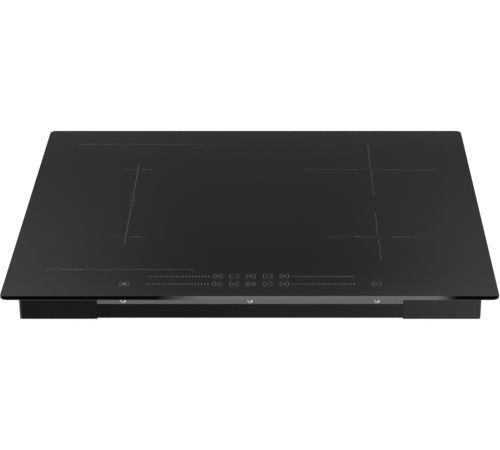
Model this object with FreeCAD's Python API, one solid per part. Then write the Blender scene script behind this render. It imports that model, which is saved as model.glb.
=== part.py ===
import FreeCAD, Part
import math
import os

# A built-in induction hob: black ceramic glass on a sheet-metal case.
# X runs left to right, Y front to rear, Z up, in millimetres.
# The origin is the middle of the glass, in the plane of the worktop that the seal rests on.

Vec = FreeCAD.Vector
along_x = Vec(1, 0, 0)
along_y = Vec(0, 1, 0)
along_z = Vec(0, 0, 1)

# Glass plate
glass_width = 590.0
glass_depth = 520.0
glass_thick = 4.0
glass_corner = 8.0
facet_run = 2.8
facet_drop = 3.5
glass_chamfer = 0.4

# Foam seal between glass and worktop
seal_thick = 2.0
seal_width = 8.0
seal_inset = 4.0

# Case below the worktop
case_drop = 38.0
side_setback = 19.5
front_setback = 29.5
rear_setback = 25.0
sheet = 0.8
case_corner = 3.0
case_bend = 1.5

# Glass support frame: a ledge under the glass with flanges turned down outside the tray
adhesive_thick = 0.8
adhesive_width = 8.0
adhesive_front_width = 2.0
ledge_width = 14.0
ledge_front_width = 3.2
strip_gap = 0.2
strip_drop = 18.3
side_flange_drop = 10.0

# Plastic covers over the two front corners
cover_length = 93.5
cover_return = 36.0
cover_thick = 1.5
cover_peg_radius = 2.0
cover_peg_length = 3.0

# Frame screws, all alike
strip_screw_pitch = 152.0
strip_screw_drop = 12.8
flange_screw_drop = 5.0
flange_screw_reach = 150.0
frame_screw_head = 4.0
frame_screw_head_height = 2.0
frame_screw_shank = 1.45
frame_screw_length = 5.0
screw_play = 0.1

# Tapped collars in the case floor for the worktop clamps
clamp_pitch_x = 520.0
clamp_pitch_y = 340.0
clamp_hole_radius = 2.1
clamp_collar_radius = 3.6
clamp_collar_height = 2.0

# Cooking zones: (name, x, y, zone radius, ferrite bars)
left_zone_x = -159.5
right_zone_x = 159.5
rear_zone_y = 119.3
front_zone_y = -95.0
large_zone_radius = 90.0
small_zone_radius = 70.0
large_ferrites = 9
small_ferrites = 6
coils = [
    ("rear_left", left_zone_x, rear_zone_y, large_zone_radius, large_ferrites),
    ("front_left", left_zone_x, front_zone_y, large_zone_radius, large_ferrites),
    ("rear_right", right_zone_x, rear_zone_y, large_zone_radius, large_ferrites),
    ("front_right", right_zone_x, front_zone_y, small_zone_radius, small_ferrites),
]

# Coil stack, from the glass downwards
glass_gap = 0.3
mica_thick = 0.5
winding_thick = 4.0
former_thick = 1.5
former_inset = 2.0
winding_inset = 3.5
winding_bore = 18.0
ferrite_thick = 4.0
ferrite_width = 14.0
ferrite_start = 24.0
ferrite_inset = 6.0
coil_travel = 3.0
travel_reserve = 0.7

# Guide pegs and springs under each coil
peg_count = 3
peg_radius = 2.5
peg_circle = 46.0
peg_play = 0.4
peg_head_radius = 3.6
peg_head_height = 1.5
spring_gap = 0.3
spring_radius = 4.2
spring_wire = 0.5
spring_turns = 3

# Temperature sensor in the middle of each coil
hub_radius = 14.5
hub_wall = 1.5
hub_depth = 8.0
sensor_radius = 6.0
sensor_head = 2.0
stem_radius = 2.0
stem_play = 0.05
stem_reach = 4.0
stem_clip_radius = 3.4
stem_clip_thick = 1.2
sensor_spring_radius = 4.0
sensor_spring_wire = 0.3
sensor_spring_turns = 4

# Carrier plate and its posts
carrier_thick = 1.0
carrier_side_gap = 6.7
carrier_front_gap = 40.0
carrier_rear_gap = 8.0
post_radius = 4.0
post_inset = 8.0
hub_play = 2.5

# Screws inside the case, all alike
inner_screw_head = 2.8
inner_screw_head_height = 1.6
inner_screw_shank = 1.4
inner_screw_length = 5.0

# Power boards: two alike, each with its own heat sink and fan
board_thick = 1.6
board_lift = 4.2
board_post_radius = 3.0
board_screw_inset = 5.0
power_board_x = 172.0
power_board_y = 25.0
power_board_width = 160.0
power_board_depth = 214.0
filter_board_y = 75.0
filter_board_width = 150.0
filter_board_depth = 110.0

sink_inset = 1.0
sink_width = 50.0
sink_length = 180.0
sink_base = 3.0
sink_leg = 3.0
fin_count = 9
fin_thick = 1.5
fin_height = 4.9

transistor_width = 16.0
transistor_length = 21.0
transistor_thick = 5.0
transistor_pitch = 42.0
transistors_per_board = 4

capacitor_width = 14.0
capacitor_length = 27.0
capacitor_height = 12.0
capacitor_pitch = 18.0
choke_outer = 14.0
choke_inner = 7.0
choke_height = 10.0

# Blowers: box 78 square, drawing air up through the case floor
fan_gap = 7.0
fan_side = 78.0
fan_height = 15.5
fan_wall = 1.5
fan_corner = 6.0
fan_chamber = 35.0
fan_inlet = 26.0
fan_outlet = 44.0
impeller_radius = 32.0
impeller_inner = 22.0
impeller_gap = 0.8
impeller_disc = 1.0
blade_count = 19
blade_thick = 1.0
blade_lean = 35.0
fan_hub_radius = 15.5
fan_hub_wall = 1.5
motor_radius = 12.0
motor_gap = 1.2
shaft_radius = 1.5
shaft_play = 0.05

# Air slots
slot_width = 3.0
slot_pitch = 6.0
grille_radius = 25.0
outlet_slots = 10
outlet_slot_height = 18.0
outlet_slot_pitch = 7.0

# Stiffening beads pressed up into the case floor
bead_width = 12.0
bead_length = 150.0
bead_height = 1.4
bead_pitch = 48.0
beads_per_side = 3

# Mains terminal box at the rear, with a hinged lid in the case floor
terminal_x = 48.0
terminal_width = 76.0
terminal_depth = 48.0
terminal_height = 20.2
terminal_wall = 2.0
pole_block_depth = 16.0
pole_block_inset = 4.0
pole_count = 5
pole_pitch = 12.0
pole_hole_radius = 2.4
pole_screw_radius = 2.6
lid_thick = 1.2
lid_play = 0.4
lid_hinge_lift = 2.4
lid_hinge_inset = 3.2
lid_lug = 3.0
lid_pin_radius = 1.2
lid_pin_play = 0.05

# Rubber bush for the mains cable
bush_bore = 5.0
bush_body = 6.5
bush_flange = 8.5
bush_corner = 1.5
bush_flange_thick = 1.5
bush_length = 12.0
bush_lift = 10.4
bush_play = 0.1

# Touch controls behind the front edge
key_pitch = 20.15
key_columns = 5
front_key_setback = 33.0
key_row_pitch = 20.0
outer_key_x = 151.0
slider_centre = 87.2
slider_length = 75.0
slider_width = 6.0
pad_radius = 4.2
pad_wall = 1.2
pad_shift = 3.5
touch_board_width = 330.0
touch_board_depth = 32.6
touch_gap = 0.2
touch_drop = 8.4
touch_tray_wall = 1.3
touch_tray_floor = 1.5
touch_tray_space = 1.5
touch_tray_shelf = 2.0
touch_tray_lip = 3.0
touch_leg_radius = 4.0
touch_leg_pitch = 150.0

# Ribbon and wires
ribbon_x = 30.0
ribbon_width = 12.0
ribbon_thick = 0.6
ribbon_bend = 4.0
ribbon_lift = 8.0
socket_depth = 6.0
socket_height = 4.0
wire_radius = 1.6
wire_bend = 5.0
wire_lift = 13.2
link_lift = 17.2
link_pitch = 6.0
link_inset = 14.0
link_reach = 55.0
lead_radius = 1.6
lead_pitch = 9.0
lead_gap = 0.3
lead_top_drop = 3.0
wire_play = 1.0

# Levels, from the worktop plane
glass_under = seal_thick
glass_top_z = glass_under + glass_thick
ledge_top = glass_under - adhesive_thick
rim = ledge_top - sheet
case_under = -case_drop
floor_top = case_under + sheet
mica_top = glass_under - glass_gap
winding_top = mica_top - mica_thick
former_top = winding_top - winding_thick
former_under = former_top - former_thick
ferrite_under = former_under - ferrite_thick
carrier_top = ferrite_under - coil_travel - travel_reserve
carrier_under = carrier_top - carrier_thick
board_under = floor_top + board_lift
board_top = board_under + board_thick
sink_under = board_top + transistor_thick
fan_top = floor_top + fan_height
terminal_top = floor_top + terminal_height
touch_under = glass_under - touch_drop - board_thick

# Outlines in plan
case_front = -glass_depth / 2 + front_setback
case_rear = glass_depth / 2 - rear_setback
case_side = glass_width / 2 - side_setback
cover_side = case_side + cover_thick
inner_front = case_front + sheet
inner_rear = case_rear - sheet
inner_side = case_side - sheet
carrier_side = inner_side - carrier_side_gap
carrier_front = inner_front + carrier_front_gap
carrier_rear = inner_rear - carrier_rear_gap
sink_offset = sink_inset + (sink_width - power_board_width) / 2
fan_offset = (fan_side - power_board_width) / 2
fan_y = power_board_y - power_board_depth / 2 - fan_gap - fan_side / 2
terminal_rear = inner_rear - (case_bend - sheet)
terminal_front = terminal_rear - terminal_depth
touch_front = inner_front + touch_gap
front_key_y = -glass_depth / 2 + front_key_setback


def box(x0, x1, y0, y1, z0, z1):
    return Part.makeBox(x1 - x0, y1 - y0, z1 - z0, Vec(x0, y0, z0))


def rod(x, y, z0, z1, radius):
    return Part.makeCylinder(radius, z1 - z0, Vec(x, y, z0))


def pipe(x, y, z0, z1, outer, inner):
    return rod(x, y, z0, z1, outer).cut(rod(x, y, z0, z1, inner))


def join(shapes):
    first, *rest = shapes
    return first.fuse(rest).removeSplitter() if rest else first


def upright(edge):
    a, b = edge.Vertexes[0].Point, edge.Vertexes[-1].Point
    return abs(a.x - b.x) < 1e-6 and abs(a.y - b.y) < 1e-6


def at_level(edge, z):
    return all(abs(v.Z - z) < 1e-6 for v in edge.Vertexes)


def rounded_box(x0, x1, y0, y1, z0, z1, corner):
    block = box(x0, x1, y0, y1, z0, z1)
    return block.makeFillet(corner, [e for e in block.Edges if upright(e)])


def slot_across(x, y, z0, z1, length, width):
    """A straight slot along Y with round ends."""
    reach = (length - width) / 2
    middle = box(x - width / 2, x + width / 2, y - reach, y + reach, z0, z1)
    ends = [rod(x, y + s * reach, z0, z1, width / 2) for s in (-1, 1)]
    return middle.fuse(ends)


def save(name, *solids):
    shape = solids[0] if len(solids) == 1 else Part.makeCompound(list(solids))
    shape.exportStep("parts/" + name + ".step")


# A sweep along straight runs joined by tangent arcs
def bent_path(points, bend):
    edges = []
    start = points[0]
    for before, corner, after in zip(points, points[1:], points[2:]):
        back = (before - corner).normalize()
        ahead = (after - corner).normalize()
        half = back.getAngle(ahead) / 2
        cut = bend / math.tan(half)
        centre = corner + (back + ahead).normalize() * (bend / math.sin(half))
        middle = centre + (corner - centre).normalize() * bend
        edges.append(Part.LineSegment(start, corner + back * cut).toShape())
        edges.append(Part.Arc(corner + back * cut, middle, corner + ahead * cut).toShape())
        start = corner + ahead * cut
    edges.append(Part.LineSegment(start, points[-1]).toShape())
    return Part.Wire(edges)


def wire(points, radius, bend):
    heading = points[1] - points[0]
    profile = Part.Wire([Part.makeCircle(radius, points[0], heading)])
    return bent_path(points, bend).makePipeShell([profile], True, False)


def spring(x, y, z0, z1, radius, thickness, turns):
    """A round-wire compression spring: each turn is a flat half and a rising half."""
    level = z0 + thickness
    rise = (z1 - z0 - 2 * thickness) / turns
    lean = math.hypot(radius, rise / 2)
    left = Vec(x - radius, y, level)
    profile = Part.Wire([Part.makeCircle(thickness, left, along_y)])
    edges = []
    for k in range(turns + 1):
        left = Vec(x - radius, y, level)
        right = Vec(x + radius, y, level)
        edges.append(Part.Arc(left, Vec(x, y + radius, level), right).toShape())
        if k < turns:
            level += rise
            middle = Vec(x, y - lean, level - rise / 2)
            edges.append(Part.Arc(right, middle, Vec(x - radius, y, level)).toShape())
    return Part.Wire(edges).makePipeShell([profile], True, False)


# Screws
def pan_screw(seat, outward, head, head_height, shank, length):
    """A pan-head screw with its head on a seat, facing outward."""
    rod_part = Part.makeCylinder(shank, length, seat, -outward)
    dome_radius = (head**2 + head_height**2) / (2 * head_height)
    centre = seat + outward * (head_height - dome_radius)
    ball = Part.makeSphere(dome_radius, centre)
    cap = ball.common(Part.makeCylinder(head, head_height + 1, seat, outward))
    recess = Part.makeCylinder(head * 0.45, head_height, seat + outward * head_height * 0.45, outward)
    return join([cap.cut(recess), rod_part])


def frame_screw(seat, outward):
    return pan_screw(
        seat,
        outward,
        frame_screw_head,
        frame_screw_head_height,
        frame_screw_shank,
        frame_screw_length,
    )


def frame_screw_seats():
    strip_z = -strip_screw_drop
    flange_z = -flange_screw_drop
    seats = []
    for i in (-1, 0, 1):
        seats.append((Vec(i * strip_screw_pitch, case_front - sheet, strip_z), -along_y))
    for side in (-1, 1):
        for end in (-1, 1):
            seat = Vec(side * (case_side + sheet), end * flange_screw_reach, flange_z)
            seats.append((seat, along_x * side))
        seats.append((Vec(side * flange_screw_reach, case_rear + sheet, flange_z), along_y))
    return seats


def frame_screw_holes(radius):
    depth = 2 * sheet + 1
    return [
        Part.makeCylinder(radius, depth, seat + outward * 0.5, -outward)
        for seat, outward in frame_screw_seats()
    ]


def inner_screw(x, y, z):
    return pan_screw(
        Vec(x, y, z),
        along_z,
        inner_screw_head,
        inner_screw_head_height,
        inner_screw_shank,
        inner_screw_length,
    )


# Glass, seal and adhesive
def glass_top():
    half_w = glass_width / 2
    half_d = glass_depth / 2
    slab = rounded_box(-half_w, half_w, -half_d, half_d, glass_under, glass_top_z, glass_corner)
    rims = [e for e in slab.Edges if at_level(e, glass_under) or at_level(e, glass_top_z)]
    slab = slab.makeChamfer(glass_chamfer, rims)
    slope = facet_drop / facet_run
    side = half_w + 1
    corners = [
        Vec(-side, -half_d + facet_run + 1, glass_top_z + slope),
        Vec(-side, -half_d - 1, glass_top_z + slope),
        Vec(-side, -half_d - 1, glass_top_z - facet_drop - slope),
    ]
    face = Part.Face(Part.makePolygon(corners + corners[:1]))
    return slab.cut(face.extrude(along_x * 2 * side))


def worktop_seal():
    x = glass_width / 2 - seal_inset
    y = glass_depth / 2 - seal_inset
    corner = glass_corner - seal_inset
    outer = rounded_box(-x, x, -y, y, 0, seal_thick, corner)
    w = seal_width
    return outer.cut(box(-x + w, x - w, -y + w, y - w, 0, seal_thick))


def ledge_ring(z0, z1, side_width, front_width, inset):
    x = case_side + sheet - inset
    front = case_front - sheet + inset
    rear = case_rear + sheet - inset
    outer = rounded_box(-x, x, front, rear, z0, z1, case_corner)
    hole = box(-x + side_width, x - side_width, front + front_width, rear - side_width, z0, z1)
    return outer.cut(hole)


def glass_adhesive():
    inset = (ledge_front_width - adhesive_front_width) / 2
    return ledge_ring(ledge_top, glass_under, adhesive_width, adhesive_front_width, inset)


def glass_support_frame():
    ledge = ledge_ring(rim, ledge_top, ledge_width, ledge_front_width, 0)
    half = cover_side - cover_length - strip_gap
    strip = box(-half, half, case_front - sheet, case_front, rim - strip_drop, rim)
    low = rim - side_flange_drop
    start = case_front + cover_return
    sides = [
        box(case_side, case_side + sheet, start, case_rear - case_corner, low, rim),
        box(-case_side - sheet, -case_side, start, case_rear - case_corner, low, rim),
    ]
    reach = case_side - case_corner
    back = box(-reach, reach, case_rear, case_rear + sheet, low, rim)
    return join([ledge, strip, back] + sides).cut(frame_screw_holes(frame_screw_shank + screw_play))


# Case
def corner_cover(side):
    """A black L-shaped cover; side is -1 on the left and +1 on the right."""
    inner = cover_side - cover_length
    front = case_front - cover_thick
    plate = box(inner, cover_side, front, case_front, case_under, rim)
    back = box(case_side, cover_side, front, front + cover_return, case_under, rim)
    cover = join([plate, back])
    outer_edges = [
        e
        for e in cover.Edges
        if upright(e)
        and abs(e.Vertexes[0].X - cover_side) < 1e-6
        and abs(e.Vertexes[0].Y - front) < 1e-6
    ]
    cover = cover.makeFillet(case_corner, outer_edges)
    pegs = [
        Part.makeCylinder(cover_peg_radius, cover_peg_length, Vec(x, case_front, z), along_y)
        for x, z in cover_pegs()
    ]
    cover = join([cover] + pegs)
    return cover if side > 0 else cover.mirror(Vec(0, 0, 0), along_x)


def cover_pegs():
    middle = case_under / 2
    return [(cover_side - cover_length + 12, middle), (cover_side - 22, middle)]


def outlet_centres():
    return [side * power_board_x + sink_offset for side in (-1, 1)]


def fan_centres():
    return [side * power_board_x + fan_offset for side in (-1, 1)]


def bottom_tray():
    shell = box(-case_side, case_side, case_front, case_rear, case_under, rim)
    shell = shell.makeFillet(case_corner, [e for e in shell.Edges if upright(e)])
    bends = [e for e in shell.Edges if at_level(e, case_under)]
    shell = shell.makeFillet(case_bend, bends)
    hollow = box(-inner_side, inner_side, inner_front, inner_rear, floor_top, rim + 5)
    hollow = hollow.makeFillet(case_corner - sheet, [e for e in hollow.Edges if upright(e)])
    bends = [e for e in hollow.Edges if at_level(e, floor_top)]
    tray = shell.cut(hollow.makeFillet(case_bend - sheet, bends))
    clamp_points = [
        (i * clamp_pitch_x / 2, j * clamp_pitch_y / 2) for i in (-1, 1) for j in (-1, 1)
    ]
    collar_top = floor_top + clamp_collar_height
    collars = [rod(x, y, floor_top, collar_top, clamp_collar_radius) for x, y in clamp_points]
    beads = [side * (power_board_x + k * bead_pitch) for side in (-1, 1) for k in bead_steps()]
    raised = [floor_bead(x, floor_top, 0) for x in beads]
    tray = join([tray] + collars + raised)
    cuts = [floor_bead(x, case_under, sheet) for x in beads]
    cuts += frame_screw_holes(frame_screw_shank + screw_play)
    cuts += [rod(x, y, case_under, collar_top, clamp_hole_radius) for x, y in clamp_points]
    for x, z in cover_pegs():
        for side in (-1, 1):
            hole = Part.makeCylinder(
                cover_peg_radius + screw_play, sheet + 1, Vec(side * x, case_front - 0.5, z), along_y
            )
            cuts.append(hole)
    for centre in fan_centres():
        cuts += intake_slots(centre)
    for centre in outlet_centres():
        cuts += outlet_row(centre)
    cuts.append(terminal_opening(case_under, floor_top))
    cuts.append(bush_hole())
    return tray.cut(cuts)


def bead_steps():
    half = (beads_per_side - 1) / 2
    return [k - half for k in range(beads_per_side)]


def floor_bead(x, level, inset):
    return slot_across(
        x, power_board_y, level, level + bead_height, bead_length - 2 * inset, bead_width - 2 * inset
    )


def intake_slots(centre):
    slots = []
    rows = int(grille_radius // slot_pitch)
    for i in range(-rows, rows + 1):
        chord = 2 * math.sqrt(grille_radius**2 - (i * slot_pitch) ** 2)
        x = centre + i * slot_pitch
        slots.append(slot_across(x, fan_y, case_under - 1, floor_top + 1, chord, slot_width))
    return slots


def outlet_row(centre):
    middle = board_top + outlet_slot_height / 2
    slots = []
    for i in range(outlet_slots):
        x = centre + (i - (outlet_slots - 1) / 2) * outlet_slot_pitch
        half = slot_width / 2
        reach = outlet_slot_height / 2 - half
        slot = box(x - half, x + half, inner_rear - 1, case_rear + 1, middle - reach, middle + reach)
        ends = [
            Part.makeCylinder(half, sheet + 2, Vec(x, inner_rear - 1, middle + s * reach), along_y)
            for s in (-1, 1)
        ]
        slots.append(slot.fuse(ends))
    return slots


# Coil carrier
def carrier_post_points():
    xs = (-carrier_side + post_inset, 0, carrier_side - post_inset)
    middle_y = power_board_y - power_board_depth / 2 + 76
    ys = (carrier_front + post_inset, middle_y, carrier_rear - post_inset)
    return [(x, y) for x in xs for y in ys]


def peg_points(x, y, ferrites):
    """The pegs stand midway between ferrite bars."""
    first = math.pi / ferrites
    angles = [first + k * 2 * math.pi / peg_count for k in range(peg_count)]
    return [(x + peg_circle * math.cos(a), y + peg_circle * math.sin(a)) for a in angles]


def lead_points(x, y, zone):
    """Two leads rise beside the former, on the side towards the power board's middle."""
    reach = zone - former_inset + lead_gap + lead_radius
    turn = 1 if y < power_board_y else -1
    half = lead_pitch / 2
    drop = math.sqrt(reach**2 - half**2)
    return [(x + s * half, y + turn * drop) for s in (-1, 1)]


def coil_carrier_plate():
    plate = box(-carrier_side, carrier_side, carrier_front, carrier_rear, carrier_under, carrier_top)
    holes = []
    for _, x, y, zone, ferrites in coils:
        holes.append(rod(x, y, carrier_under, carrier_top, hub_radius + hub_play))
        for px, py in peg_points(x, y, ferrites):
            holes.append(rod(px, py, carrier_under, carrier_top, peg_radius + peg_play))
        for px, py in lead_points(x, y, zone):
            holes.append(rod(px, py, carrier_under, carrier_top, lead_radius + wire_play))
    for x, y in carrier_post_points():
        holes.append(rod(x, y, carrier_under, carrier_top, inner_screw_shank + screw_play))
    return plate.cut(holes)


def tapped_post(x, y, z0, z1, radius):
    bore = rod(x, y, z1 - inner_screw_length, z1, inner_screw_shank + screw_play)
    return rod(x, y, z0, z1, radius).cut(bore)


# Coils
def coil_former(x, y, zone, ferrites):
    radius = zone - former_inset
    disc = pipe(x, y, former_under, former_top, radius, hub_radius - hub_wall)
    edge = pipe(x, y, former_under, winding_top, radius, zone - winding_inset)
    hub = pipe(x, y, former_top - hub_depth, winding_top, hub_radius, hub_radius - hub_wall)
    hub_floor = former_top - hub_depth
    base = pipe(x, y, hub_floor, hub_floor + hub_wall, hub_radius, stem_radius + stem_play)
    shapes = [disc, edge, hub, base]
    head_top = carrier_under - spring_gap
    for px, py in peg_points(x, y, ferrites):
        shapes.append(rod(px, py, head_top, former_under, peg_radius))
        shapes.append(rod(px, py, head_top - peg_head_height, head_top, peg_head_radius))
    return join(shapes)


def coil_winding(x, y, zone):
    return pipe(x, y, former_top, winding_top, zone - winding_inset, winding_bore)


def coil_mica(x, y, zone):
    return pipe(x, y, winding_top, mica_top, zone - former_inset, hub_radius + 0.5)


def coil_ferrites(x, y, zone, count):
    bars = []
    half = ferrite_width / 2
    for k in range(count):
        bar = box(ferrite_start, zone - ferrite_inset, -half, half, ferrite_under, former_under)
        bar.rotate(Vec(0, 0, 0), along_z, k * 360.0 / count)
        bar.translate(Vec(x, y, 0))
        bars.append(bar)
    return bars


def coil_sensor(x, y):
    head_under = mica_top - sensor_head
    hub_under = former_top - hub_depth
    clip_top = hub_under - spring_gap
    head = rod(x, y, head_under, mica_top, sensor_radius)
    stem = rod(x, y, hub_under - stem_reach, head_under, stem_radius)
    clip = rod(x, y, clip_top - stem_clip_thick, clip_top, stem_clip_radius)
    return join([head, stem, clip])


def sensor_spring(x, y):
    low = former_top - hub_depth + hub_wall
    high = mica_top - sensor_head - spring_gap
    return spring(
        x, y, low, high, sensor_spring_radius, sensor_spring_wire, sensor_spring_turns
    )


# Power boards and what stands on them
def board_holes(x, y, width, depth):
    dx = width / 2 - board_screw_inset
    dy = depth / 2 - board_screw_inset
    return [(x + i * dx, y + j * dy) for i in (-1, 1) for j in (-1, 1)]


def board(x, y, width, depth):
    slab = box(x - width / 2, x + width / 2, y - depth / 2, y + depth / 2, board_under, board_top)
    play = inner_screw_shank + screw_play
    return slab.cut([rod(a, b, board_under, board_top, play) for a, b in board_holes(x, y, width, depth)])


def heat_sink(x):
    left = x - sink_width / 2
    right = x + sink_width / 2
    front = power_board_y - sink_length / 2
    rear = power_board_y + sink_length / 2
    base_top = sink_under + sink_base
    shapes = [box(left, right, front, rear, sink_under, base_top)]
    for edge in (left, right - sink_leg):
        shapes.append(box(edge, edge + sink_leg, front, rear, board_top, sink_under))
    step = (sink_width - fin_thick) / (fin_count - 1)
    for k in range(fin_count):
        fin = left + k * step
        shapes.append(box(fin, fin + fin_thick, front, rear, base_top, base_top + fin_height))
    return join(shapes)


def transistors(x):
    packages = []
    half_w = transistor_width / 2
    half_l = transistor_length / 2
    for k in range(transistors_per_board):
        y = power_board_y + (k - (transistors_per_board - 1) / 2) * transistor_pitch
        packages.append(box(x - half_w, x + half_w, y - half_l, y + half_l, board_top, sink_under))
    return packages


def capacitors(x, y, count):
    blocks = []
    half_w = capacitor_width / 2
    half_l = capacitor_length / 2
    for k in range(count):
        cy = y + (k - (count - 1) / 2) * capacitor_pitch
        top = board_top + capacitor_height
        block = box(x - half_l, x + half_l, cy - half_w, cy + half_w, board_top, top)
        blocks.append(block)
    return blocks


def choke(x, y):
    return pipe(x, y, board_top, board_top + choke_height, choke_outer, choke_inner)


# Blowers
def fan_housing(x):
    half = fan_side / 2
    outer = rounded_box(x - half, x + half, fan_y - half, fan_y + half, floor_top, fan_top, fan_corner)
    low = floor_top + impeller_disc
    high = fan_top - fan_wall
    chamber = rod(x, fan_y, low, high, fan_chamber)
    outlet = box(
        x - fan_chamber, x - fan_chamber + fan_outlet, fan_y, fan_y + half + 1, low, high
    )
    inlet = rod(x, fan_y, floor_top - 1, low + 1, fan_inlet)
    return outer.cut([chamber, outlet, inlet])


def fan_motor(x):
    """The stator hangs from the housing roof, inside the impeller's hub."""
    high = fan_top - fan_wall
    low = floor_top + impeller_disc + impeller_gap + fan_hub_wall + motor_gap
    bore = rod(x, fan_y, low, high, shaft_radius + shaft_play)
    return rod(x, fan_y, low, high, motor_radius).cut(bore)


def fan_impeller(x):
    low = floor_top + impeller_disc + impeller_gap
    high = fan_top - fan_wall - impeller_gap
    cup_floor = low + fan_hub_wall
    cup_inner = fan_hub_radius - fan_hub_wall
    cup = pipe(x, fan_y, cup_floor, high, fan_hub_radius, cup_inner)
    shapes = [rod(x, fan_y, low, cup_floor, fan_hub_radius), cup]
    disc = pipe(x, fan_y, high - impeller_disc, high, impeller_radius, cup_inner)
    shapes.append(disc)
    shapes.append(rod(x, fan_y, cup_floor, high, shaft_radius))
    length = impeller_radius - impeller_inner - 0.5
    for k in range(blade_count):
        blade = box(0, length, -blade_thick / 2, blade_thick / 2, low, high - impeller_disc)
        blade.rotate(Vec(0, 0, 0), along_z, blade_lean)
        blade.translate(Vec(impeller_inner, 0, 0))
        blade.rotate(Vec(0, 0, 0), along_z, k * 360.0 / blade_count)
        blade.translate(Vec(x, fan_y, 0))
        shapes.append(blade)
    return join(shapes)


# Mains terminals
def terminal_opening(z0, z1):
    w = terminal_wall
    half = terminal_width / 2 - w
    return box(
        terminal_x - half, terminal_x + half, terminal_front + w, terminal_rear - w, z0 - 1, z1 + 1
    )


def hinge_line():
    return terminal_front + terminal_wall + lid_hinge_inset, case_under + lid_hinge_lift


def bush_centre():
    return terminal_x, case_under + bush_lift


def bush_bar(half, y0, y1):
    """The bush is square, so it can't turn in the walls. half is half of its side."""
    x, z = bush_centre()
    bar = box(x - half, x + half, y0, y1, z - half, z + half)
    edges = [e for e in bar.Edges if abs(e.Vertexes[0].Y - e.Vertexes[-1].Y) > sheet]
    return bar.makeFillet(bush_corner, edges)


def bush_hole():
    return bush_bar(bush_body + bush_play, terminal_rear - terminal_wall, case_rear)


def pole_points():
    return [terminal_x + (k - (pole_count - 1) / 2) * pole_pitch for k in range(pole_count)]


def pole_block_levels():
    low = floor_top + pole_block_inset
    return low, terminal_top - terminal_wall


def terminal_block():
    half = terminal_width / 2
    outer = box(
        terminal_x - half, terminal_x + half, terminal_front, terminal_rear, floor_top, terminal_top
    )
    w = terminal_wall
    hollow = box(
        terminal_x - half + w,
        terminal_x + half - w,
        terminal_front + w,
        terminal_rear - w,
        floor_top - 1,
        terminal_top - w,
    )
    low, high = pole_block_levels()
    front = terminal_front + w
    block = box(
        terminal_x - half + w,
        terminal_x + half - w,
        front,
        front + pole_block_depth,
        low,
        high,
    )
    hinge_y, hinge_z = hinge_line()
    cuts = [
        Part.makeCylinder(
            lid_pin_radius + lid_pin_play,
            terminal_width + 2,
            Vec(terminal_x - half - 1, hinge_y, hinge_z),
            along_x,
        )
    ]
    middle = (low + high) / 2
    for x in pole_points():
        start = Vec(x, front + pole_block_depth / 2, middle)
        cuts.append(Part.makeCylinder(pole_hole_radius, pole_block_depth, start, along_y))
        cuts.append(rod(x, start.y + 3, low - 1, middle, pole_screw_radius + screw_play))
    cuts.append(bush_hole())
    return join([outer.cut(hollow), block]).cut(cuts)


def terminal_screws():
    low, high = pole_block_levels()
    y = terminal_front + terminal_wall + pole_block_depth / 2 + 3
    screws = []
    for x in pole_points():
        screw = rod(x, y, low + 0.5, (low + high) / 2 - pole_hole_radius, pole_screw_radius)
        screw = screw.cut(box(x - 2, x + 2, y - 0.4, y + 0.4, low, low + 1.3))
        screws.append(screw)
    return screws


def terminal_lid():
    hinge_y, hinge_z = hinge_line()
    half = terminal_width / 2 - terminal_wall - lid_play
    lid_top = case_under + lid_thick
    front = hinge_y - lid_pin_radius - lid_play
    rear = terminal_rear - terminal_wall - lid_play
    plate = box(terminal_x - half, terminal_x + half, front, rear, case_under, lid_top)
    shapes = [plate]
    for side in (-1, 1):
        edge = terminal_x + side * half
        inner = edge - side * lid_lug
        low_x, high_x = sorted((edge, inner))
        shapes.append(
            box(low_x, high_x, hinge_y - lid_pin_radius, hinge_y + lid_pin_radius, lid_top, hinge_z)
        )
        knuckle = Part.makeCylinder(lid_pin_radius, lid_lug, Vec(low_x, hinge_y, hinge_z), along_x)
        pin_length = lid_play + terminal_wall
        pin = Part.makeCylinder(
            lid_pin_radius, pin_length, Vec(edge, hinge_y, hinge_z), along_x * side
        )
        shapes += [knuckle, pin]
    return join(shapes)


def cable_inlet_bush():
    x, z = bush_centre()
    outer_face = case_rear + bush_flange_thick
    inner_wall = terminal_rear - terminal_wall
    body = bush_bar(bush_body, outer_face - bush_length, outer_face)
    outer = bush_bar(bush_flange, case_rear, outer_face)
    inner = bush_bar(bush_flange, inner_wall - bush_flange_thick, inner_wall)
    bore = Part.makeCylinder(bush_bore, bush_length + 2, Vec(x, outer_face + 1, z), -along_y)
    return join([body, outer, inner]).cut(bore)


# Touch controls
def touch_tray_outline():
    wall = touch_tray_wall
    half = touch_board_width / 2 + touch_gap + wall
    rear = touch_front + 2 * wall + touch_board_depth + 2 * touch_gap
    return half, touch_front, rear


def touch_board():
    half = touch_board_width / 2
    front = touch_front + touch_tray_wall + touch_gap
    top = touch_under + board_thick
    return box(-half, half, front, front + touch_board_depth, touch_under, top)


def touch_board_carrier():
    half, front, rear = touch_tray_outline()
    floor_under = touch_under - touch_tray_space - touch_tray_floor
    lip = touch_under + touch_tray_lip
    shell = box(-half, half, front, rear, floor_under, lip)
    w = touch_tray_wall
    pocket = box(-half + w, half - w, front + w, rear - w, touch_under, lip)
    s = w + touch_tray_shelf
    space = box(
        -half + s, half - s, front + s, rear - s, floor_under + touch_tray_floor, touch_under
    )
    exit_y = ribbon_start_y()
    exit_half = ribbon_width / 2 + wire_play
    gap = ribbon_thick + wire_play
    exit_slot = box(
        ribbon_x - exit_half, ribbon_x + exit_half, exit_y - gap, exit_y + gap, floor_under - 1, touch_under
    )
    middle = (front + rear) / 2
    legs = [
        rod(k * touch_leg_pitch, middle, floor_top, floor_under, touch_leg_radius) for k in (-1, 0, 1)
    ]
    return join([shell.cut([pocket, space, exit_slot])] + legs)


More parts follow.
